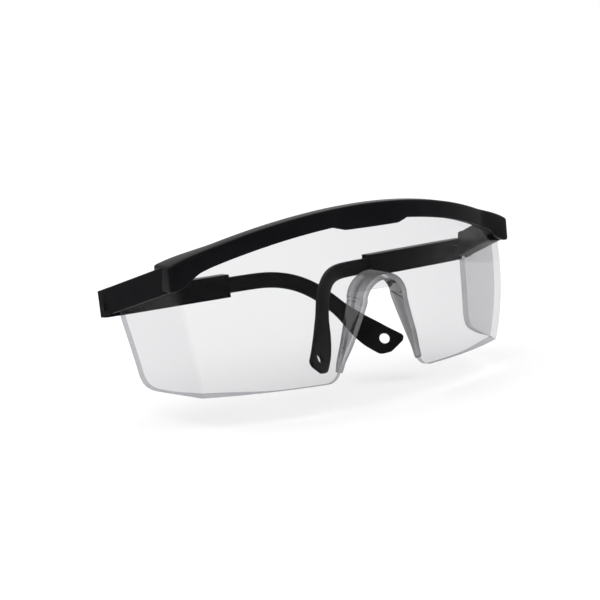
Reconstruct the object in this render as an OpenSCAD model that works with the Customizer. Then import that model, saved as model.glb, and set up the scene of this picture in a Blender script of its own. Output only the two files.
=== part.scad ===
// Safety spectacles: one clear wrap-round lens with side shields, hung from a black brow frame,
// with two folding temples whose tips slide out of their sleeves.
// Frame: +X is the wearer's left, -Y is the front, +Z is up. All sizes are in millimetres.

/* [Lens] */
// Half the width of the front pane along its lower edge
pane_half_w = 62; // [58:1:66]
// Radius of the front pane's curve, seen from above
pane_radius = 130; // [115:1:150]
// Wall thickness of the moulded lens
lens_wall = 2.2; // [1.8:0.1:2.6]
// How far the front pane leans back from the vertical, in degrees
pane_lean = 4.3; // [2:0.1:7]
// How far each side shield flares outwards towards the rear, in degrees
shield_flare = 18; // [14:1:20]
// How far each side shield leans outwards towards the top, in degrees
shield_lean = 3.8; // [2:0.1:5]

/* [Brow frame] */
// Height of the top of the brow above the lens's lower edge
brow_top = 58.9; // [56:0.1:62]
// Radius of the brow's arch, seen from the front
brow_arch = 165; // [150:1:190]
// Height of the thin front stretch of the brow
brow_height = 6.1; // [5:0.1:8]
// How far the frame stands proud of the front pane
brow_proud = 2.2; // [1.5:0.1:3]
// Height of the two side arms
arm_height = 9.3; // [8:0.1:10]
// Downward slope of the side arms towards the rear, in degrees
arm_slope = 17.9; // [14:0.1:20]

/* [Temples] */
// Fold angle of the left temple at rest, from pointing straight back
fold_left = 97.7; // [90:0.1:100]
// Fold angle of the right temple at rest, which lies behind the left one
fold_right = 89.5; // [84:0.1:92]
// Backward tilt of both hinge axes, in degrees
hinge_tilt = 3.6; // [3:0.1:7]
// Length from the hinge to the mouth of the sleeve
sleeve_length = 47.4; // [42:0.1:52]
// Height of the sleeve
sleeve_height = 8.2; // [7.4:0.1:9]
// Thickness of the sleeve
sleeve_thick = 5; // [4.6:0.1:5.6]
// Height of the slider where it is straight
slider_height = 5.7; // [5:0.1:6]
// Thickness of the slider
slider_thick = 2.2; // [1.8:0.1:2.4]
// Widest height of the paddle at the slider's end
paddle_height = 8.9; // [8:0.1:10]
// Radius of the lanyard hole in each paddle
lanyard_hole_r = 1.7; // [1.4:0.1:2]

/* [Hidden] */
$fn = 96;

depth_centre = 10.61;                   // moves the origin to the middle of the object's depth
pane_apex_y = -16;                      // front of the pane at its lower edge
crease_y = pane_apex_y + pane_radius - sqrt(pow(pane_radius, 2) - pow(pane_half_w, 2));
tall = 80;                              // taller than the lens and the frame

// The nose arch: two straight legs that run up into a round top
nose_centre_z = 25.7;
nose_r = 8.3;
nose_leg_angle = 19.4;                  // of each leg from the vertical
nose_wall = 2;
nose_arc_steps = 20;

// The shields and the arms
crease_slope = 0.162;                   // rearward run of the crease for each millimetre of height
crease_back = 1;                        // where a shield's own wall starts, behind the crease
shield_rear = [[23, 0], [26.6, 1.1], [28.3, 4], [28.9, 8], [34.1, 26], [34.6, 31]];
arm_in = 2.4;                           // of the arm's inner face, inwards from the lens's outer face
arm_out = 3.2;                          // of its outer face, outwards
arm_lower_z = 37.8;                     // of the arm's lower edge at the crease
arm_end = 35.9;                         // where the full arm stops, ahead of the hinge
cheek_end = 40.2;                       // where the outer cheek beside the hinge stops
cheek_wall = 0.95;
brow_half_w = 70.2;                     // where the brow ends, just outside the arms
squared_from = 55;                      // from where the brow's front runs straight to its corner
squared_rise = 0.25;                    // rearward run of that stretch for each millimetre sideways

// The hinges
hinge_x = 75.5;
hinge_y = 37;
knuckle_z = 28.3;                       // middle of the hinge, along its axis
tongue_r = 2.2;
tongue_height = 2.9;
neck_half_w = 1.9;                      // of the neck that carries the tongue
neck_height = 2.6;
pin_r = 0.8;
running_gap = 0.05;
side_gap = 0.3;                         // between the tongue and the two ears
ear_r = 2.2;
sleeve_start = 3.3;                     // where the sleeve's full section begins

// The slider's path: it first curls inwards, then drops, and twists as it does
slider_start = 12;
slider_end = 116.2;
straight_end = 50;
path_step = 1.96;
curl_angle = 31.3;
curl_start = 50.6;
curl_length = 24.6;
drop_angle = 52;
drop_start = 57.3;
drop_length = 35.3;
hole_back = 4.3;                        // of the lanyard hole from the paddle's end
hole_rise = 0.9;                        // of the hole above the paddle's middle
slide_gap = 0.35;

function smooth(t) = let (c = min(max(t, 0), 1)) c * c * (3 - 2 * c);
function curl_at(l) = curl_angle * smooth((l - curl_start) / curl_length);
function drop_at(l) = drop_angle * smooth((l - drop_start) / drop_length);
function along(l) = let (b = curl_at(l), g = drop_at(l)) [sin(b), cos(b) * cos(g), -cos(b) * sin(g)];
function upward(l) = let (g = drop_at(l)) [0, sin(g), cos(g)];
function inward(l) = let (b = curl_at(l), g = drop_at(l)) [cos(b), -sin(b) * cos(g), sin(b) * sin(g)];
path_steps = round((slider_end - straight_end) / path_step);
path_points = [for (i = 0, p = [0, straight_end, knuckle_z]; i <= path_steps;
                    i = i + 1, p = p + path_step * along(straight_end + (i - 0.5) * path_step)) p];
function path_at(l) = let (t = (l - straight_end) / path_step, i = min(floor(t), path_steps - 1))
    path_points[i] + (t - i) * (path_points[i + 1] - path_points[i]);

// Half the slider's height, which grows into the paddle and rounds off over its last stretch
function half_height(l, rounding, cut) = let (
        grown = slider_height / 2
            + (paddle_height - slider_height) / 2 * smooth((l - slider_end + 34) / 20),
        part = max(0, (l - slider_end + rounding) / rounding))
    grown * (1 - cut * pow(part, 2));

// ---- Shared placing ----

module both_sides() {
    children();
    mirror([1, 0, 0]) children();
}

// A body of revolution about the front pane's own leaned axis
module pane_cylinder(r) {
    translate([0, pane_apex_y + pane_radius, 0])
        rotate([-pane_lean, 0, 0])
            translate([0, 0, -20]) cylinder(r = r, h = tall + 20, $fn = 200);
}

// Extrudes an outline drawn from the front, in X and Z, through the whole depth
module from_front(depth = 60) {
    translate([0, 30, 0]) rotate([90, 0, 0]) linear_extrude(depth) children();
}

// Puts a shape drawn in a side shield's own frame on the left side:
// X is outwards from its outer face, Y runs to the rear and Z up
module on_shield() {
    translate([pane_half_w, crease_y, 0])
        rotate([0, 0, -shield_flare])
            rotate([0, shield_lean, 0]) children();
}

// Extrudes an outline drawn from the side, in Y and Z of the shield's frame
module from_side(inner, outer) {
    translate([inner, 0, 0]) rotate([90, 0, 90]) linear_extrude(outer - inner) children();
}

// Puts a shape drawn on an open temple in its folded place on the wearer's left
module on_left_temple(fold) {
    translate([hinge_x, hinge_y, 0]) rotate([-hinge_tilt, 0, 0])
        rotate([0, 0, fold]) mirror([1, 0, 0]) children();
}

module on_right_temple(fold) {
    mirror([1, 0, 0]) on_left_temple(fold) children();
}

// ---- Nose arch ----

module nose_outline(r) {
    leg = 40;
    foot = [r * cos(nose_leg_angle) + leg * sin(nose_leg_angle),
            r * sin(nose_leg_angle) - leg * cos(nose_leg_angle)];
    turn = (180 - 2 * nose_leg_angle) / nose_arc_steps;
    translate([0, nose_centre_z])
        polygon(concat([foot],
            [for (k = [0 : nose_arc_steps]) r * [cos(nose_leg_angle + k * turn), sin(nose_leg_angle + k * turn)]],
            [[-foot[0], foot[1]]]));
}

// The flange that wraps the notch, deep at the top and shallow at the feet
module nose_flange() {
    intersection() {
        from_front() difference() {
            nose_outline(nose_r + nose_wall / 2);
            nose_outline(nose_r - nose_wall / 2);
        }
        translate([-25, 0, 0]) rotate([90, 0, 90]) linear_extrude(50)
            polygon([[-15, 1.2], [-15.5, 7], [-18, 19], [-20.9, 36], [-9, 37], [-13, 7], [-13.2, 1.2]]);
    }
}

// ---- The pieces ----

module pane_outline() {
    intersection() {
        polygon([[-pane_half_w, 0], [pane_half_w, 0], [pane_half_w + 5.2, 46],
                 [pane_half_w + 5.2, 60], [-pane_half_w - 5.2, 60], [-pane_half_w - 5.2, 46]]);
        translate([0, brow_top - 2.4 - brow_arch]) circle(r = brow_arch, $fn = 256);
    }
}

module lens() {
    color([0.9, 0.93, 0.95, 0.45]) {
        difference() {
            intersection() {
                difference() {
                    pane_cylinder(pane_radius);
                    pane_cylinder(pane_radius - lens_wall);
                }
                from_front(60) difference() {
                    pane_outline();
                    nose_outline(nose_r);
                }
            }
            both_sides() on_shield()
                translate([0, -20, -5]) cube([20, 40, tall]);
        }
        nose_flange();
        both_sides() on_shield() from_side(-lens_wall, 0)
            polygon(concat([[crease_back, 0]], shield_rear,
                [[34, 33], [crease_back + 44.3 * crease_slope, 44.3]]));
    }
}

module brow_outline() {
    difference() {
        translate([0, brow_top - brow_arch]) circle(r = brow_arch, $fn = 256);
        difference() {
            translate([0, brow_top - brow_height - brow_arch]) circle(r = brow_arch, $fn = 256);
            polygon([[-14, 54], [-10.7, 50.8], [10.7, 50.8], [14, 54]]);
            both_sides_2d() polygon([[56.5, 45], [66, 37], [80, 30], [80, 60]]);
        }
        translate([-200, -250]) square([400, 282]);
        both_sides_2d() translate([brow_half_w, 0]) square([200, 100]);
    }
}

// All that lies behind the brow's front face: round in the middle and straight near the corners
module brow_front() {
    r = pane_radius + brow_proud;
    start = -sqrt(r * r - squared_from * squared_from);
    translate([0, pane_apex_y + pane_radius, 0]) rotate([-pane_lean, 0, 0])
        translate([0, 0, -20]) linear_extrude(tall + 20) {
            circle(r = r, $fn = 200);
            polygon(concat(
                [for (q = [30, -10]) [-squared_from - q, start + q * squared_rise]],
                [for (q = [-10, 30]) [squared_from + q, start + q * squared_rise]],
                [[squared_from + 30, r], [-squared_from - 30, r]]));
        }
}

module both_sides_2d() {
    children();
    mirror([1, 0]) children();
}

module arm_outline() {
    fall = tan(arm_slope);
    polygon([[-14, arm_lower_z + 14 * fall], [cheek_end, arm_lower_z - cheek_end * fall],
             [cheek_end, arm_lower_z + arm_height - cheek_end * fall],
             [-14, arm_lower_z + arm_height + 14 * fall]]);
}

// The tongue between the temple's ears, with the neck that carries it
module hinge_tongue() {
    translate([hinge_x, hinge_y, 0]) rotate([-hinge_tilt, 0, 0]) {
        translate([0, 0, knuckle_z - tongue_height / 2]) cylinder(r = tongue_r, h = tongue_height);
        rotate([0, 0, shield_flare]) translate([-neck_half_w, -6, knuckle_z - neck_height / 2])
            cube([2 * neck_half_w, 6, neck_height]);
    }
}

module brow_frame() {
    color([0.07, 0.07, 0.08]) difference() {
        intersection() {
            brow_front();
            union() {
                difference() {
                    from_front(60) brow_outline();
                    pane_cylinder(pane_radius - lens_wall - 1.6);
                }
                both_sides() {
                    on_shield() difference() {
                        from_side(-arm_in, arm_out) arm_outline();
                        translate([-20, arm_end, 0]) cube([20 + arm_out - cheek_wall, 20, tall]);
                    }
                    hinge_tongue();
                }
            }
        }
        // the groove that the lens's upper edge sits in
        intersection() {
            difference() {
                pane_cylinder(pane_radius + 0.1);
                pane_cylinder(pane_radius - lens_wall - 0.1);
            }
            from_front(60) translate([0, brow_top - 2.3 - brow_arch]) circle(r = brow_arch, $fn = 256);
            groove_width();
        }
        both_sides() on_shield() from_side(-lens_wall - 0.1, 0.1)
            polygon([[crease_back + 20 * crease_slope, 20], [34.8, 20], [34.8, 33.1],
                     [crease_back + 44.8 * crease_slope, 44.8]]);
        both_sides() translate([hinge_x, hinge_y, 0]) rotate([-hinge_tilt, 0, 0])
            translate([0, 0, 20]) cylinder(r = pin_r + running_gap, h = 20, $fn = 48);
    }
}

// Keeps the groove between the two shields
module groove_width() {
    translate([-pane_half_w - 6, -30, 20]) cube([2 * (pane_half_w + 6), 60, 60]);
}

module temple_sleeve_shape() {
    low = knuckle_z - sleeve_height / 2;
    ear = (sleeve_height - tongue_height) / 2 - side_gap;
    difference() {
        union() {
            translate([-sleeve_thick / 2, sleeve_start, low])
                cube([sleeve_thick, sleeve_length - sleeve_start, sleeve_height]);
            for (z = [low, low + sleeve_height - ear]) translate([0, 0, z]) {
                cylinder(r = ear_r, h = ear, $fn = 48);
                translate([-ear_r, 0, 0]) cube([2 * ear_r, sleeve_start + 0.5, ear]);
            }
        }
        translate([-slider_thick / 2 - slide_gap, slider_start - 3, knuckle_z - slider_height / 2 - slide_gap])
            cube([slider_thick + 2 * slide_gap, sleeve_length, slider_height + 2 * slide_gap]);
        cylinder(r = pin_r, h = tall, $fn = 48);
    }
}

// One ring of the slider's section: a flat bar with broken corners
function ring(l) = let (
        top = half_height(l, 3.5, 0.45), low = half_height(l, 9, 0.55), b = slider_thick / 2, c = 0.6,
        at = l < straight_end ? [0, l, knuckle_z] : path_at(l))
    [for (q = [[b, c - low], [b, top - c], [b - c, top], [c - b, top],
              [-b, top - c], [-b, c - low], [c - b, -low], [b - c, -low]])
        at + q[0] * inward(l) + q[1] * upward(l)];

module temple_slider_shape() {
    stations = concat([slider_start, straight_end],
        [for (i = [1 : path_steps - 1]) straight_end + i * path_step], [slider_end - 0.01]);
    points = [for (l = stations) each ring(l)];
    n = 8;
    last = len(stations) - 1;
    hole = slider_end - hole_back;
    axis = inward(hole);
    difference() {
        polyhedron(points, faces = concat(
            [[for (k = [0 : n - 1]) k]],
            [for (i = [0 : last - 1], k = [0 : n - 1]) each let (
                a = i * n + k, b = i * n + (k + 1) % n, c = b + n, d = a + n) [[a, d, b], [b, d, c]]],
            [[for (k = [n - 1 : -1 : 0]) last * n + k]]));
        translate(path_at(hole) + hole_rise * upward(hole))
            rotate([0, acos(axis[2]), atan2(axis[1], axis[0])])
                cylinder(r = lanyard_hole_r, h = 20, center = true, $fn = 48);
    }
}

module hinge_screw_shape() {
    translate([0, 0, knuckle_z - sleeve_height / 2 + 0.2])
        cylinder(r = pin_r, h = sleeve_height - 0.4, $fn = 48);
}

module temple_sleeve_left() { color([0.08, 0.08, 0.09]) on_left_temple(fold_left) temple_sleeve_shape(); }
module temple_sleeve_right() { color([0.08, 0.08, 0.09]) on_right_temple(fold_right) temple_sleeve_shape(); }
module temple_slider_left() { color([0.11, 0.11, 0.12]) on_left_temple(fold_left) temple_slider_shape(); }
module temple_slider_right() { color([0.11, 0.11, 0.12]) on_right_temple(fold_right) temple_slider_shape(); }
module hinge_screw_left() { color("silver") on_left_temple(fold_left) hinge_screw_shape(); }
module hinge_screw_right() { color("silver") on_right_temple(fold_right) hinge_screw_shape(); }

translate([0, -depth_centre, 0]) {
    brow_frame();
    lens();
    temple_sleeve_left();
    temple_sleeve_right();
    temple_slider_left();
    temple_slider_right();
    hinge_screw_left();
    hinge_screw_right();
}
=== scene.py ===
import math

import bmesh
import bpy
from mathutils import Matrix, Vector


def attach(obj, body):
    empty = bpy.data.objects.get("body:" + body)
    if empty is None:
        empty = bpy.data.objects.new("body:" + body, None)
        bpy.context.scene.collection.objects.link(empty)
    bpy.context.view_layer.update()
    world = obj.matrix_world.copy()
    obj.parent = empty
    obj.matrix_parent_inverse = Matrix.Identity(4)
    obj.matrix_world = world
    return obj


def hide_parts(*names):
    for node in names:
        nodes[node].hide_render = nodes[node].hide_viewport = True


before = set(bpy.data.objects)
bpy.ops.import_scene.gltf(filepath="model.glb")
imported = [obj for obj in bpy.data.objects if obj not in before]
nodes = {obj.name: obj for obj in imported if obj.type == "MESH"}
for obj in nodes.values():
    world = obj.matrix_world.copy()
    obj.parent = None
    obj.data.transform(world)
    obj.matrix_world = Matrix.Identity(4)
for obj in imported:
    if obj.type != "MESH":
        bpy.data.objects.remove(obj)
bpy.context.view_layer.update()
MM = 0.001
DEPTH = 10.61                 # how far the frame's origin lies behind the lens's own (mm)
SIDES = ("left", "right")


# ---------------------------------------------------------------- camera
RIGHT = Vector((0.8446, -0.5325, -0.0557))
UP = Vector((0.1443, 0.1263, 0.9814))
AHEAD = Vector((0.5156, 0.8369, -0.1835))
CAMERA_AT = Vector((-284.0, -425.8 - DEPTH, 120.4))
SENSOR, FOCAL = 36, 90


def add_camera():
    data = bpy.data.cameras.new("camera")
    data.sensor_width, data.lens = SENSOR, FOCAL
    data.clip_start, data.clip_end = 0.05, 20
    cam = bpy.data.objects.new("camera", data)
    bpy.context.scene.collection.objects.link(cam)
    m = Matrix((RIGHT, UP, -AHEAD)).transposed().to_4x4()
    m.translation = CAMERA_AT * MM
    cam.matrix_world = m
    bpy.context.scene.camera = cam


add_camera()


# ---------------------------------------------------------------- meshes
# Every shape is worked out in millimetres, in the lens's frame: X to the wearer's left, Z up from the
# lens's lower edge. row() turns such a point into one of the shared frame, in metres.
def row(p):
    return Vector((p[0], p[1] - DEPTH, p[2])) * MM


def linked(name, mesh):
    obj = bpy.data.objects.new(name, mesh)
    bpy.context.scene.collection.objects.link(obj)
    return obj


def new_object(name, points, faces):
    mesh = bpy.data.meshes.new(name)
    mesh.from_pydata([row(p) for p in points], [], faces)
    mesh.validate()
    bm = bmesh.new()
    bm.from_mesh(mesh)
    bmesh.ops.remove_doubles(bm, verts=bm.verts, dist=1e-6)
    bmesh.ops.recalc_face_normals(bm, faces=bm.faces)
    bm.to_mesh(mesh)
    bm.free()
    return linked(name, mesh)


def apply_modifiers(obj):
    bpy.context.view_layer.update()
    deps = bpy.context.evaluated_depsgraph_get()
    mesh = bpy.data.meshes.new_from_object(obj.evaluated_get(deps))
    obj.modifiers.clear()
    obj.data = mesh
    return obj


def smooth_shade(obj, angle):
    for p in obj.data.polygons:
        p.use_smooth = True
    obj.data.set_sharp_from_angle(angle=math.radians(angle))


def bevel(obj, width, angle=30, slot=-1):
    mod = obj.modifiers.new("bevel", "BEVEL")
    mod.material = slot
    mod.width, mod.segments = width * MM, 3
    mod.limit_method, mod.angle_limit = "ANGLE", math.radians(angle)
    mod.use_clamp_overlap = True


def grid_faces(rows, cols, closed=False):
    """Quads between rows of points laid out one after another."""
    faces = []
    span = cols if closed else cols - 1
    for i in range(rows - 1):
        for j in range(span):
            a, b = i * cols + j, i * cols + (j + 1) % cols
            faces.append((a, b, b + cols, a + cols))
    return faces


def swept(name, rings):
    """A closed body from rings of the same number of points."""
    n = len(rings[0])
    points = [p for r in rings for p in r]
    faces = grid_faces(len(rings), n, closed=True)
    faces.append(tuple(range(n))[::-1])
    faces.append(tuple((len(rings) - 1) * n + k for k in range(n)))
    return new_object(name, points, faces)


def rounded_ring(x0, x1, y0, y1, r, steps=4):
    """A rectangle with rounded corners, anticlockwise from its lower right corner."""
    r = min(r, (x1 - x0) / 2 - 1e-3, (y1 - y0) / 2 - 1e-3)
    corners = ((x1 - r, y0 + r, -90), (x1 - r, y1 - r, 0), (x0 + r, y1 - r, 90), (x0 + r, y0 + r, 180))
    out = []
    for cx, cy, a0 in corners:
        for k in range(steps + 1):
            a = math.radians(a0 + 90 * k / steps)
            out.append((cx + r * math.cos(a), cy + r * math.sin(a)))
    return out


def joined(name, parts, slots=None):
    """One object out of several, each with its own material slot, or its faces' own where that is None."""
    bm = bmesh.new()
    for o, slot in zip(parts, slots or [None] * len(parts)):
        if slot is not None:
            for p in o.data.polygons:
                p.material_index = slot
        bm.from_mesh(o.data)
    mesh = bpy.data.meshes.new(name)
    bm.to_mesh(mesh)
    bm.free()
    for o in parts:
        bpy.data.objects.remove(o)
    return linked(name, mesh)


def smooth_step(t):
    t = min(max(t, 0.0), 1.0)
    return t * t * (3 - 2 * t)


def lerp(a, b, t):
    return a + (b - a) * t


def curve_through(p0, p1, p2, p3, t):
    """The smooth curve through four points, at the share t of its middle stretch."""
    return 0.5 * ((2 * p1) + (p2 - p0) * t + (2 * p0 - 5 * p1 + 4 * p2 - p3) * t * t
                  + (3 * p1 - p0 - 3 * p2 + p3) * t ** 3)


def mirrored(p):
    return Vector((-p[0], p[1], p[2]))


# ---------------------------------------------------------------- the lens's surfaces
R_PANE, APEX_Y, LEAN = 130.0, -16.0, math.radians(4.3)
HALF_W = 62.0
CREASE_Y = APEX_Y + R_PANE - math.sqrt(R_PANE ** 2 - HALF_W ** 2)
CORNER = Vector((HALF_W, CREASE_Y, 0))
BROW_TOP, BROW_ARCH = 58.9, 165.0
LENS_TOP = BROW_TOP - 2.4
WALL = 2.2


def shield_axes(flare, lean):
    """A side shield's directions: out of its face, to the rear along it, and up it."""
    cl, sl, cf, sf = math.cos(lean), math.sin(lean), math.cos(flare), math.sin(flare)
    return Vector((cl * cf, -cl * sf, -sl)), Vector((sf, cf, 0)), Vector((sl * cf, -sl * sf, cl))


OUT, REAR, RISE = shield_axes(math.radians(18), math.radians(3.8))


def pane(x, z, off=0.0):
    """A point of the front pane, off millimetres in front of its outer face."""
    r = R_PANE + off
    return Vector((x, APEX_Y + R_PANE + z * math.tan(LEAN) - math.sqrt(r * r - x * x) / math.cos(LEAN), z))


def side(y, z, off=0.0):
    """A point of a side shield, y behind the crease's foot, z up and off out of its face."""
    return CORNER + OUT * off + REAR * y + RISE * z


def crease_run(z):
    """Where a side shield, at height z up its own plane, meets the pane."""
    lo, hi = -25.0, 25.0
    for _ in range(40):
        mid = (lo + hi) / 2
        p = side(mid, z)
        if p.y > pane(p.x, p.z).y:
            hi = mid
        else:
            lo = mid
    return mid


def arch(x, apex):
    return apex - BROW_ARCH + math.sqrt(BROW_ARCH ** 2 - x * x)


# ---------------------------------------------------------------- the lens
NOSE_Z, NOSE_R, LEG = 25.7, 8.3, math.radians(19.4)
NOSE_STEPS = 12               # in the notch's round top, and again in its leg
FOOT_R, FOOT_STEPS = 5.0, 8   # the rounded corner at the foot of each leg
EDGE_STEPS = 22               # along the straight lower edge
CREASE_TOP, REAR_TOP = 44.2, 32.7     # heights of a side shield at its crease and at its rear
LEVELS, SIDE_STEPS = 30, 24
SWELL, SWELL_TOP = 3.0, 46
SWELL_WAY = Vector((0.42, -0.907, 0))
EDGE_BREAK = 0.38
LENS_SLOTS = ("face", "edge", "nose", "rim")
SHIELD_REAR = [(14, 0), (20, 0), (23.6, 0.35), (26.4, 1.7), (28.1, 4.2), (29.1, 8), (31.6, 17),
               (34.1, 26), (34.7, REAR_TOP)]


def nose_path():
    """The right half of the notch's edge from its apex down: X and Z."""
    out = []
    for k in range(NOSE_STEPS + 1):
        a = math.pi / 2 - (math.pi / 2 - LEG) * k / NOSE_STEPS
        out.append((NOSE_R * math.cos(a), NOSE_Z + NOSE_R * math.sin(a)))
    x0, z0 = out[-1]
    run = z0 / math.cos(LEG)
    for k in range(1, NOSE_STEPS + 1):
        s = run * k / NOSE_STEPS
        out.append((x0 + s * math.sin(LEG), z0 - s * math.cos(LEG)))
    return out


def lower_edge():
    """The pane's lower edge from the notch's apex out to the crease."""
    path = nose_path()
    foot = path[-1]
    back = FOOT_R * math.tan((math.pi / 2 - LEG) / 2)
    corner_top = back * math.cos(LEG)
    path = [p for p in path if p[1] > corner_top + 0.5]
    centre = (foot[0] + back, FOOT_R)
    for k in range(FOOT_STEPS + 1):
        a = math.pi + LEG + (math.pi / 2 - LEG) * k / FOOT_STEPS
        path.append((centre[0] + FOOT_R * math.cos(a), centre[1] + FOOT_R * math.sin(a)))
    x0 = path[-1][0]
    return path + [(lerp(x0, HALF_W, k / EDGE_STEPS), 0.0) for k in range(1, EDGE_STEPS + 1)]


def spline(points, steps=14):
    out = []
    pts = [Vector(p) for p in [points[0], *points, points[-1]]]
    for i in range(1, len(pts) - 2):
        out += [curve_through(*pts[i - 1:i + 3], k / steps) for k in range(steps)]
    return out + [pts[-1]]


REAR_CURVE = spline(SHIELD_REAR)


def rear_edge(z):
    for a, b in zip(REAR_CURVE, REAR_CURVE[1:]):
        if a.y <= z <= b.y and b.y > a.y + 1e-6:
            return lerp(a.x, b.x, (z - a.y) / (b.y - a.y))
    return REAR_CURVE[-1].x if z > 1 else 21.5


def bulged(p, share):
    """A point moved out where the lens swells towards the crease, most at mid height."""
    rise = math.sin(math.pi * min(max(p.z / SWELL_TOP, 0.0), 1.0)) ** 0.7
    return p + SWELL_WAY * (SWELL * rise * share)


def pane_columns(levels):
    """Columns from the middle of the pane to the crease, which stand on its lower edge."""
    low = lower_edge()
    lengths = [0.0]
    for a, b in zip(low, low[1:]):
        lengths.append(lengths[-1] + math.dist(a, b))
    corner_x = side(crease_run(CREASE_TOP), CREASE_TOP).x
    columns = []
    for (x, z), s in zip(low, lengths):
        top_x = corner_x * (s / lengths[-1]) ** 0.92
        top_z = arch(top_x, LENS_TOP)
        column = [(lerp(x, top_x, v), lerp(z, top_z, v)) for v in levels]
        columns.append([bulged(pane(px, pz), smooth_step((px - 36) / 30)) for px, pz in column])
    return columns


def lens_half():
    """Columns of points from the middle of the pane out to a shield's rear edge."""
    levels = [(j / LEVELS) ** 1.7 for j in range(LEVELS + 1)]
    columns = pane_columns(levels)
    columns[-1] = [bulged(side(crease_run(v * CREASE_TOP), v * CREASE_TOP), 1) for v in levels]
    for k in range(1, SIDE_STEPS + 1):
        u = k / SIDE_STEPS
        top = lerp(CREASE_TOP, REAR_TOP, u)
        fade = (1 - smooth_step(u * 1.2)) * (1 - u)
        columns.append([bulged(side(lerp(crease_run(v * top), rear_edge(v * REAR_TOP), u), v * top), fade)
                        for v in levels])
    return columns


def make_pane():
    half = lens_half()
    cols = [[mirrored(p) for p in c] for c in half[:0:-1]] + half
    points = [p for c in cols for p in c]
    obj = new_object("pane", points, grid_faces(len(cols), len(cols[0])))
    middle = obj.data.polygons[len(obj.data.polygons) // 2]
    if middle.normal.y > 0:
        obj.data.flip_normals()
    for _ in LENS_SLOTS:
        obj.data.materials.append(None)
    solid = obj.modifiers.new("solid", "SOLIDIFY")
    solid.thickness, solid.offset = WALL * MM, -1
    solid.use_even_offset = True
    solid.material_offset_rim = LENS_SLOTS.index("rim")
    bevel(obj, EDGE_BREAK, slot=LENS_SLOTS.index("edge"))
    return apply_modifiers(obj)


# The flange's edges: height, reach ahead of the pane, reach behind it, half width at the front, at the rear
FLANGE = [(3.2, -0.1, 2.1, 16.5, 16.6), (5, 0.3, 2.2, 15.85, 16.2), (7, 0.7, 2.3, 15.15, 15.75),
          (12.5, 2.6, 2.6, 13.1, 13.7), (19, 3.9, 3.1, 10.6, 11.5), (26, 5.4, 3.5, 8.2, 9.2)]
FLANGE_RISE = 8.6             # from the top row above to the top of the flange
FLANGE_AHEAD, FLANGE_BEHIND = (5.4, 7.0), (3.4, 4.2)    # along that rise
FLANGE_TURN, FLANGE_FINE = 8, 4
FLANGE_HALF_T, FLANGE_ROUND = 1.0, 0.55


def flange_stations():
    """Pairs of points, at the front and at the rear edge, from the foot of one leg to the other's."""
    def pair(xf, xr, z, ahead, behind):
        return [Vector((xf, pane(xf, z).y - ahead, z)), Vector((xr, pane(xr, z).y + behind, z))]

    right = [pair(wf, wr, z, ahead, behind) for z, ahead, behind, wf, wr in FLANGE]
    z0, _, _, wf, wr = FLANGE[-1]
    for k in range(1, FLANGE_TURN + 1):
        t = k / FLANGE_TURN
        a = math.pi / 2 * k / FLANGE_TURN
        right.append(pair(wf * math.cos(a), wr * math.cos(a), z0 + FLANGE_RISE * math.sin(a),
                          lerp(*FLANGE_AHEAD, t), lerp(*FLANGE_BEHIND, t)))
    return right + [[mirrored(p) for p in s] for s in right[-2::-1]]


def make_flange():
    """The thin wall round the notch, which stands out before and behind the pane."""
    path = flange_stations()
    smooth = []
    for i in range(len(path) - 1):
        quad = [path[max(i - 1, 0)], path[i], path[i + 1], path[min(i + 2, len(path) - 1)]]
        for k in range(FLANGE_FINE):
            smooth.append([curve_through(*(s[e] for s in quad), k / FLANGE_FINE) for e in (0, 1)])
    smooth.append(path[-1])
    rings = []
    for i, (front, rear) in enumerate(smooth):
        nxt, prv = smooth[min(i + 1, len(smooth) - 1)], smooth[max(i - 1, 0)]
        run = ((nxt[0] + nxt[1]) - (prv[0] + prv[1])).normalized()
        depth = rear - front
        reach = depth.length / 2
        depth.normalize()
        across = run.cross(depth).normalized()
        centre = (front + rear) / 2
        rings.append([centre + across * a + depth * b for a, b in
                      rounded_ring(-FLANGE_HALF_T, FLANGE_HALF_T, -reach, reach, FLANGE_ROUND)])
    return swept("flange", rings)


WEB_R, WEB_Z = 8.4, 25.9
WEB_FROM, WEB_SPAN, WEB_STEPS = 24, 132, 12     # degrees of the notch's round top that the web fills
WEB_FACES = (0.4, 1.5)                          # behind the pane's outer face


def make_web():
    """The small web across the top of the notch, with a flat lower edge."""
    turns = [math.radians(WEB_FROM + WEB_SPAN * k / WEB_STEPS) for k in range(WEB_STEPS + 1)]
    rim = [(WEB_R * math.cos(a), WEB_Z + WEB_R * math.sin(a)) for a in turns]
    points = [pane(x, z) + Vector((0, back, 0)) for back in WEB_FACES for x, z in rim]
    n = len(rim)
    faces = [tuple(range(n)), tuple(range(2 * n - 1, n - 1, -1))]
    for k in range(n):
        j = (k + 1) % n
        faces.append((k, k + n, j + n, j))
    obj = new_object("web", points, faces)
    bevel(obj, 0.25)
    return apply_modifiers(obj)


lens = joined("clear_lens", [make_pane(), make_flange(), make_web()],
              [None, LENS_SLOTS.index("nose"), LENS_SLOTS.index("face")])
smooth_shade(lens, 40)


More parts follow.
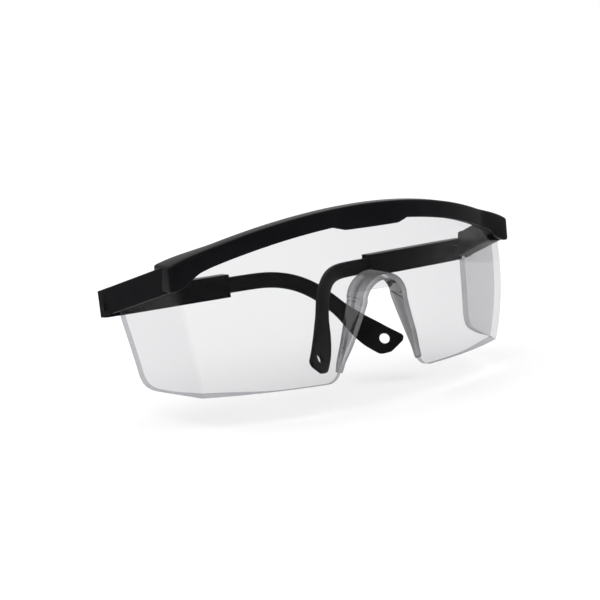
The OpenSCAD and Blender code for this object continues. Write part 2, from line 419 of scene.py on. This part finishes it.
# ---------------------------------------------------------------- the brow bar and its side arms
ARM_OUT, ARM_IN = 3.2, 2.4    # of the arms, from a shield's outer face
ARM_LOW, ARM_H = 37.8, 9.3
ARM_FROM, ARM_TO, ARM_STEPS = 4.6, 35.6, 40
ARM_NECK = 44.7               # top of an arm where it leaves the bar
PROUD, INNER = 2.2, WALL + 1.6
FALL = math.tan(math.radians(17.9))
BAR_H, BAR_FOOT = 6.1, 36.1
BUMP_X, BUMP_EDGE_X, BUMP_Z, BUMP_EDGE_RISE = 10.2, 13.6, 50.8, 0.9
DROP_FROM, DROP_RUN = 59.5, 10.7
SQUARED_FROM, SQUARED_RISE, SQUARED_EASE = 55.0, 0.25, 6
CORNER_RISE, CORNER_FROM, CORNER_RUN = 1.1, 52, 16
BAR_STEPS, BAR_EVEN, BAR_END = 90, 69.3, 70.1
EARS_FROM = 31                # the frame's own hinge ends are kept behind here


def bar_low(x):
    """The bar's lower edge: an arch, a bump at the middle, and a drop to the arms."""
    z = arch(x, BROW_TOP - BAR_H)
    if x < BUMP_EDGE_X + 1:
        bump = BUMP_Z + BUMP_EDGE_RISE * smooth_step((x - BUMP_X) / 4)
        z = lerp(min(z, bump), z, smooth_step(x - BUMP_EDGE_X))
    return lerp(z, BAR_FOOT, smooth_step((x - DROP_FROM) / DROP_RUN))


def bar_high(x):
    return arch(x, BROW_TOP) + CORNER_RISE * smooth_step((x - CORNER_FROM) / CORNER_RUN)


def bar_front(x, z):
    """A point of the bar's front, which stands before the pane and runs straight near its corners."""
    r = R_PANE + PROUD
    if x <= SQUARED_FROM - SQUARED_EASE:
        return Vector((x, pane(x, z, PROUD).y, z))
    straight = (x - SQUARED_FROM) * SQUARED_RISE - math.sqrt(r * r - SQUARED_FROM ** 2)
    curved = -math.sqrt(r * r - x * x)
    y = lerp(curved, min(curved, straight),
             smooth_step((x - SQUARED_FROM + SQUARED_EASE) / (2 * SQUARED_EASE)))
    return Vector((x, APEX_Y + R_PANE + z * math.tan(LEAN) + y / math.cos(LEAN), z))


def bar_ring(x, tuck=0.0):
    """The bar's section at x, made smaller all round by tuck."""
    depth = INNER + PROUD
    out = []
    for q, z in rounded_ring(tuck, depth - tuck, bar_low(x) + tuck, bar_high(x) - tuck, 0.8):
        front, back = bar_front(x, z), pane(x, z, -INNER)
        out.append(back + (front - back) * (q / depth))
    return out


def make_bar():
    half = [bar_ring(BAR_EVEN * k / BAR_STEPS) for k in range(BAR_STEPS + 1)]
    half += [bar_ring(BAR_END - 0.25, 0.12), bar_ring(BAR_END, 0.5)]
    return swept("bar", [[mirrored(p) for p in r] for r in half[:0:-1]] + half)


def arm_low(y):
    return ARM_LOW - y * FALL


def arm_top(y):
    line = ARM_LOW + ARM_H - y * FALL
    return min(line, lerp(ARM_NECK, line, smooth_step((y - 4) / 5)))


def make_arms():
    rings = []
    for k in range(ARM_STEPS + 1):
        y = lerp(ARM_FROM, ARM_TO, k / ARM_STEPS)
        section = rounded_ring(-ARM_IN, ARM_OUT, arm_low(y), arm_top(y), 0.7)
        rings.append([side(y, z, off) for off, z in section])
    return [swept("arm_left", rings), swept("arm_right", [[mirrored(p) for p in r] for r in rings])]


def eased_copy(node, name, width):
    """A CAD solid with its edges broken, as a moulding's are."""
    obj = linked(name, nodes[node].data.copy())
    bm = bmesh.new()
    bm.from_mesh(obj.data)
    bmesh.ops.remove_doubles(bm, verts=bm.verts, dist=2e-6)
    bmesh.ops.dissolve_limit(bm, angle_limit=math.radians(1.0), verts=bm.verts, edges=bm.edges)
    bm.to_mesh(obj.data)
    bm.free()
    bevel(obj, width, angle=25)
    apply_modifiers(obj)
    smooth_shade(obj, 35)
    return obj


def hinge_ends():
    """The part of the frame behind the arms: the cheeks and the hinges' tongues."""
    obj = eased_copy("brow_frame", "ends", 0.3)
    bm = bmesh.new()
    bm.from_mesh(obj.data)
    cut = bmesh.ops.bisect_plane(bm, geom=bm.verts[:] + bm.edges[:] + bm.faces[:],
                                 plane_co=row((0, EARS_FROM, 0)), plane_no=(0, 1, 0), clear_inner=True)
    bmesh.ops.holes_fill(bm, edges=[e for e in cut["geom_cut"] if isinstance(e, bmesh.types.BMEdge)])
    bm.to_mesh(obj.data)
    bm.free()
    return obj


brow = joined("brow_bar", [make_bar(), *make_arms(), hinge_ends()])
smooth_shade(brow, 40)
sleeves = {s: eased_copy("temple_sleeve_" + s, "sleeve_" + s, 0.4) for s in SIDES}


# ---------------------------------------------------------------- the temples' sliders
# A slider is made on an open temple, in the temple's own frame: it runs back along Y from the hinge,
# and X is inward. Its places are given by how far they lie along it from the hinge.
HINGE = Vector((75.5, 37.0, 0))
HINGE_TILT = math.radians(3.6)
KNUCKLE_Z = 28.3
FOLD = {"left": math.radians(97.7), "right": math.radians(89.5)}
SLIDER_START, STRAIGHT_END, SLIDER_END = 12.0, 50.0, 118.0
SLIDER_H, SLIDER_T, SLIDER_ROUND = 5.7, 2.2, 0.7
SLIDER_STEP, END_GAP = 0.8, 0.02
CURL, CURL_FROM, CURL_RUN = math.radians(31.3), 50.6, 24.6
DROP, HOOK_FROM, HOOK_RUN = math.radians(52), 57.3, 35.3
FLATTEN = math.radians(15)    # of the drop, taken back towards the tip
TOP_EDGE, LOW_EDGE = (4.7, 2.2, 0.42), (5.6, 4.5, 0.5)   # paddle's half height, length rounded, share lost
THINNED, END_THINNED = 0.4, 0.2
TIP_SKEW = 0.35               # the tip's upper side runs further back than its lower side
HOLE_AT, HOLE_R, HOLE_LIFT, HOLE_SIDES = SLIDER_END - 5.4, 1.95, 0.3, 48


def near_end(l, length, run):
    """A smooth 0 to 1 over run, which begins length before the slider's end."""
    return smooth_step((l - SLIDER_END + length) / run)


def turn(l):
    """The slider's curl inwards and its drop, at l."""
    drop = DROP * smooth_step((l - HOOK_FROM) / HOOK_RUN) - FLATTEN * near_end(l, 22, 20)
    return CURL * smooth_step((l - CURL_FROM) / CURL_RUN), drop


def along(l):
    b, g = turn(l)
    return Vector((math.sin(b), math.cos(b) * math.cos(g), -math.cos(b) * math.sin(g)))


def upward(l):
    g = turn(l)[1]
    return Vector((0, math.sin(g), math.cos(g)))


def inward(l):
    b, g = turn(l)
    return Vector((math.cos(b), -math.sin(b) * math.cos(g), math.sin(b) * math.sin(g)))


def half_height(l, full, rounding, cut):
    grown = SLIDER_H / 2 + (full - SLIDER_H / 2) * near_end(l, 27, 18)
    part = max(0.0, (l - SLIDER_END + rounding) / rounding)
    return grown * (1 - cut * part ** 2.6)


def slider_section(l, p):
    half_t = SLIDER_T / 2 - THINNED * near_end(l, 22, 10) - END_THINNED * near_end(l, 1, 1)
    up = upward(l) + along(l) * TIP_SKEW * near_end(l, 8, 8)
    low, top = half_height(l, *LOW_EDGE), half_height(l, *TOP_EDGE)
    ring = rounded_ring(-half_t, half_t, -low, top, SLIDER_ROUND, 5)
    return [p + inward(l) * q[0] + up * q[1] for q in ring]


def slider_mesh():
    stations = [SLIDER_START + END_GAP, 20, 30, 40, STRAIGHT_END]
    while stations[-1] < SLIDER_END - SLIDER_STEP:
        stations.append(stations[-1] + SLIDER_STEP)
    stations.append(SLIDER_END - END_GAP)
    at = Vector((0, STRAIGHT_END, KNUCKLE_Z))
    hole_at, rings = None, []
    for i, l in enumerate(stations):
        if l > STRAIGHT_END:
            step = l - stations[i - 1]
            at = at + along(l - step / 2) * step
        p = Vector((0, l, KNUCKLE_Z)) if l <= STRAIGHT_END else at
        if hole_at is None and l >= HOLE_AT:
            hole_at = p - along(l) * (l - HOLE_AT)
        rings.append(slider_section(l, p))
    obj = swept("slider", rings)
    cut_hole(obj, hole_at + upward(HOLE_AT) * HOLE_LIFT)
    return obj


def cut_hole(obj, centre):
    circle = [along(HOLE_AT) * math.cos(a) + upward(HOLE_AT) * math.sin(a)
              for a in (2 * math.pi * k / HOLE_SIDES for k in range(HOLE_SIDES))]
    tool = swept("tool", [[centre + inward(HOLE_AT) * d + c * HOLE_R for c in circle] for d in (-5, 5)])
    cut = obj.modifiers.new("hole", "BOOLEAN")
    cut.operation, cut.object, cut.solver = "DIFFERENCE", tool, "EXACT"
    apply_modifiers(obj)
    bpy.data.objects.remove(tool)


def temple_matrix(which):
    """From the open temple's own frame to its folded place."""
    m = (Matrix.Translation(HINGE) @ Matrix.Rotation(-HINGE_TILT, 4, "X")
         @ Matrix.Rotation(FOLD[which], 4, "Z") @ Matrix.Scale(-1, 4, (1, 0, 0)))
    return m if which == "left" else Matrix.Scale(-1, 4, (1, 0, 0)) @ m


def make_slider(which, source):
    obj = linked("slider_" + which, source.data.copy())
    to_row = Matrix.Translation(row((0, 0, 0)))
    m = temple_matrix(which)
    m.translation *= MM
    obj.data.transform(to_row @ m @ to_row.inverted())
    if m.determinant() < 0:
        obj.data.flip_normals()
    smooth_shade(obj, 30)
    return obj


one_slider = slider_mesh()
sliders = {s: make_slider(s, one_slider) for s in SIDES}
bpy.data.objects.remove(one_slider)


# ---------------------------------------------------------------- materials
def node_material(name):
    mat = bpy.data.materials.new(name)
    mat.use_nodes = True
    tree = mat.node_tree
    return mat, tree, tree.nodes["Principled BSDF"]


def add(tree, kind, **values):
    """A node, with values set on its sockets where it has one of that name, and on itself if not."""
    n = tree.nodes.new(kind)
    for k, v in values.items():
        if k in n.inputs:
            n.inputs[k].default_value = v
        else:
            setattr(n, k, v)
    return n


def noise(tree, coord, scale, detail, **values):
    n = add(tree, "ShaderNodeTexNoise", Scale=scale, Detail=detail, **values)
    tree.links.new(coord.outputs["Object"], n.inputs["Vector"])
    return n


def ranged(tree, source, low, high):
    """The source spread from low to high."""
    n = add(tree, "ShaderNodeMapRange")
    n.inputs["To Min"].default_value, n.inputs["To Max"].default_value = low, high
    tree.links.new(source, n.inputs["Value"])
    return n.outputs["Result"]


def bumped(tree, source, strength, distance, target):
    n = add(tree, "ShaderNodeBump", Strength=strength, Distance=distance)
    tree.links.new(source, n.inputs["Height"])
    tree.links.new(n.outputs["Normal"], target)


def ramp(tree, source, low, high):
    n = add(tree, "ShaderNodeValToRGB")
    n.color_ramp.elements[0].color, n.color_ramp.elements[1].color = (*low, 1), (*high, 1)
    tree.links.new(source, n.inputs["Fac"])
    return n


def moulded(name, dark, light, rough, skin):
    """Moulded nylon: near black with a fine mottle, slightly uneven gloss and a fine skin."""
    mat, tree, bsdf = node_material(name)
    coord = add(tree, "ShaderNodeTexCoord")
    cloud = noise(tree, coord, 91.0, 4.0, Roughness=0.6)
    grain = noise(tree, coord, 3640.0, 3.0, Roughness=0.65)
    tint = ramp(tree, cloud.outputs["Fac"], dark, light)
    tint.color_ramp.elements[0].position, tint.color_ramp.elements[1].position = 0.3, 0.72
    tree.links.new(tint.outputs["Color"], bsdf.inputs["Base Color"])
    tree.links.new(ranged(tree, cloud.outputs["Fac"], *rough), bsdf.inputs["Roughness"])
    bumped(tree, grain.outputs["Fac"], skin, 0.00004, bsdf.inputs["Normal"])
    bsdf.inputs["Specular IOR Level"].default_value = 0.045
    return mat


def clear(name, passes, graze, mirror, edge_on, middle=(0.72, 0.16)):
    """Clear polycarbonate: each face passes most light, and mirrors more the more it is seen edge-on.

    passes and graze are what it lets through face-on and edge-on, mirror and edge_on what it reflects,
    and middle is a place between the two views and the share of the way to graze there. Where this tint
    is dark, as on the lens's edges, its rim and the nose flange, it is painted shade: it stands in for the
    dark lines and bands that refraction and inner reflection draw in thick clear plastic.
    """
    mat, tree, bsdf = node_material(name)
    link = tree.links.new
    tree.nodes.remove(bsdf)
    facing = add(tree, "ShaderNodeLayerWeight", Blend=0.5)
    tint = ramp(tree, facing.outputs["Facing"], passes, graze)
    mid = tint.color_ramp.elements.new(middle[0])
    mid.color = (*[lerp(a, b, middle[1]) for a, b in zip(passes, graze)], 1)
    through = add(tree, "ShaderNodeBsdfTransparent")
    link(tint.outputs["Color"], through.inputs["Color"])
    gloss = add(tree, "ShaderNodeBsdfGlossy")
    cloud = noise(tree, add(tree, "ShaderNodeTexCoord"), 45.0, 2.0)
    link(ranged(tree, cloud.outputs["Fac"], 0.02, 0.07), gloss.inputs["Roughness"])
    bumped(tree, cloud.outputs["Fac"], 0.12, 0.0002, gloss.inputs["Normal"])
    power = add(tree, "ShaderNodeMath", operation="POWER")
    link(facing.outputs["Facing"], power.inputs[0])
    power.inputs[1].default_value = 4.0
    mix = add(tree, "ShaderNodeMixShader")
    link(ranged(tree, power.outputs[0], mirror, edge_on), mix.inputs["Fac"])
    link(through.outputs["BSDF"], mix.inputs[1])
    link(gloss.outputs["BSDF"], mix.inputs[2])
    link(mix.outputs["Shader"], tree.nodes["Material Output"].inputs["Surface"])
    return mat


def steel(name):
    mat, tree, bsdf = node_material(name)
    cloud = noise(tree, add(tree, "ShaderNodeTexCoord"), 900.0, 2.0)
    tree.links.new(ranged(tree, cloud.outputs["Fac"], 0.22, 0.38), bsdf.inputs["Roughness"])
    bsdf.inputs["Base Color"].default_value = (0.62, 0.62, 0.63, 1)
    bsdf.inputs["Metallic"].default_value = 1.0
    return mat


def paint(obj, mat):
    obj.data.materials.clear()
    obj.data.materials.append(mat)


black = moulded("brow_nylon", (0.002, 0.002, 0.003), (0.005, 0.005, 0.006), (0.24, 0.36), 0.35)
black_temple = moulded("temple_nylon", (0.003, 0.003, 0.0035), (0.007, 0.007, 0.008), (0.3, 0.42), 0.4)
lens_materials = {
    "face": clear("clear_polycarbonate", (0.87, 0.87, 0.875), (0.5, 0.5, 0.52), 0.004, 0.6),
    # painted shade: the edge bevels' dark tint stands in for the dark lines that refraction draws along a
    # clear sheet's edges
    "edge": clear("clear_edge_painted_shade", (0.24, 0.24, 0.25), (0.05, 0.05, 0.06), 0.03, 0.06),
    # painted shade: the nose flange turns near black edge-on, standing in for the dark bands of inner
    # reflection in its thick wall
    "nose": clear("clear_nose_painted_shade", (0.92, 0.92, 0.93), (0.01, 0.01, 0.012), 0.14, 0.3, (0.36, 0.5)),
    # painted shade: the rim's grey tint stands in for the dark line that refraction draws along the sheet's
    # cut edge
    "rim": clear("clear_rim_painted_shade", (0.55, 0.55, 0.57), (0.2, 0.2, 0.22), 0.03, 0.1),
}
screw = steel("hinge_steel")

paint(brow, black)
for slot in LENS_SLOTS:
    lens.data.materials.append(lens_materials[slot])
for s in SIDES:
    paint(sleeves[s], black)
    paint(sliders[s], black_temple)
    paint(nodes["hinge_screw_" + s], screw)

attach(brow, "frame")
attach(lens, "frame")
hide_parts("brow_frame")
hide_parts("lens")
for s in SIDES:
    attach(sleeves[s], "temple_" + s)
    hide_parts("temple_sleeve_" + s)
    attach(sliders[s], "slider_" + s)
    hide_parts("temple_slider_" + s)


# ---------------------------------------------------------------- floor and light
FLOOR_SIZE = 60.0
FLOOR_Z = -0.0105             # below the open temples' tips, which hang lower than the lens


def make_floor():
    bm = bmesh.new()
    bmesh.ops.create_grid(bm, x_segments=1, y_segments=1, size=FLOOR_SIZE)
    mesh = bpy.data.meshes.new("floor")
    bm.to_mesh(mesh)
    bm.free()
    obj = linked("floor", mesh)
    obj.location.z = FLOOR_Z
    mat, tree, bsdf = node_material("floor_paper")
    cloud = noise(tree, add(tree, "ShaderNodeTexCoord"), 3.0, 2.0)
    tint = ramp(tree, cloud.outputs["Fac"], (0.93, 0.93, 0.93), (0.96, 0.96, 0.96))
    tree.links.new(tint.outputs["Color"], bsdf.inputs["Base Color"])
    bsdf.inputs["Roughness"].default_value = 0.9
    bsdf.inputs["Specular IOR Level"].default_value = 0.1
    bsdf.inputs["Emission Color"].default_value = (1, 1, 1, 1)
    bsdf.inputs["Emission Strength"].default_value = 0.08
    obj.data.materials.append(mat)


def area_light(name, place, size, power):
    """A round lamp at place, turned to the middle of the object."""
    data = bpy.data.lights.new(name, "AREA")
    data.shape, data.size, data.energy = "DISK", size, power
    obj = linked(name, data)
    obj.location = place
    obj.rotation_mode = "QUATERNION"
    obj.rotation_quaternion = (Vector((0, 0, 0.02)) - Vector(place)).to_track_quat("-Z", "Y")


def white_world():
    world = bpy.data.worlds.new("studio")
    bpy.context.scene.world = world
    world.use_nodes = True
    sky = world.node_tree.nodes["Background"]
    sky.inputs["Color"].default_value = (1, 1, 1, 1)
    sky.inputs["Strength"].default_value = 1.0


make_floor()
area_light("key", (-0.5, 0.35, 1.1), 0.9, 2.4)
area_light("fill", (0.9, -0.5, 0.8), 0.8, 0.7)
white_world()
bpy.context.scene.view_settings.view_transform = "Standard"
